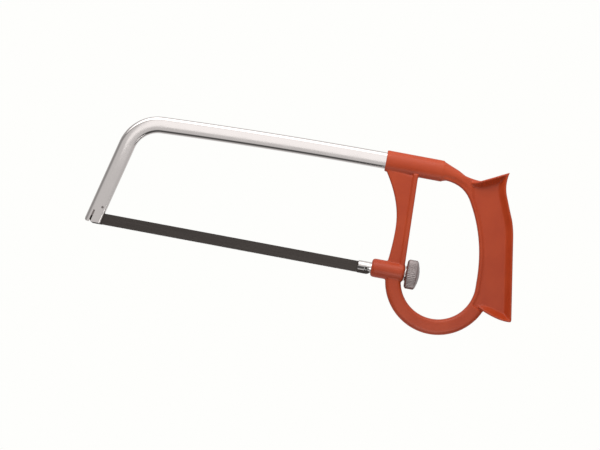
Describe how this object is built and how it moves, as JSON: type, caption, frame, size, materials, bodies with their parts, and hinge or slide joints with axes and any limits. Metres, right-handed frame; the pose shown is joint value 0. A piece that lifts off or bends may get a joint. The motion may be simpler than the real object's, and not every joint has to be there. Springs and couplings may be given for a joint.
{
  "type": "hacksaw",
  "caption": "Hand hacksaw with a flat-oval tube bow, a D-shaped cast handle and a blade held at a slotted foot and a knob-tensioned rod.",
  "frame": {"origin": "centre of the flat palm face on the back of the grip", "axes": "+X from the front of the bow towards the handle, along the blade; +Y across the saw, along its thickness; +Z from the blade up to the bow"},
  "size_m": [0.4761, 0.032, 0.1886],
  "materials": {
    "enamelled_casting": "orange-red enamel over a die casting, satin",
    "plated_tube": "bright nickel-chrome plate",
    "turned_steel": "turned and knurled steel, dull plate",
    "blackened_blade": "blackened saw steel"
  },
  "bodies": {
    "frame": {"handle": "enamelled_casting", "frame_tube": "plated_tube", "front_anchor_plug": "turned_steel", "plug_rivet": "turned_steel", "tube_lock_pin": "turned_steel", "thrust_washer": "plated_tube"},
    "knob": {"tension_knob": "turned_steel"},
    "drawbar": {"drawbar": "plated_tube", "rear_blade_pin": "blackened_blade"},
    "blade": {"blade": "blackened_blade", "front_blade_pin": "turned_steel"}
  },
  "joints": [
    {"name": "knob_turn", "type": "hinge", "parent": "frame", "child": "knob", "pos_m": [-0.1143, 0, -0.01815], "axis": [1, 0, 0], "range_deg": [0, 1440]},
    {"name": "blade_tension", "type": "slide", "parent": "frame", "child": "drawbar", "axis": [-1, 0, 0], "range_m": [0, 0.005]},
    {"name": "blade_swing", "type": "hinge", "parent": "drawbar", "child": "blade", "pos_m": [-0.1579, 0, -0.02025], "axis": [0, -1, 0], "range_deg": [0, 45]}
  ],
  "couplings": [
    {"joint": "blade_tension", "follows": "knob_turn", "m_per_rad": 0.00019894}
  ]
}
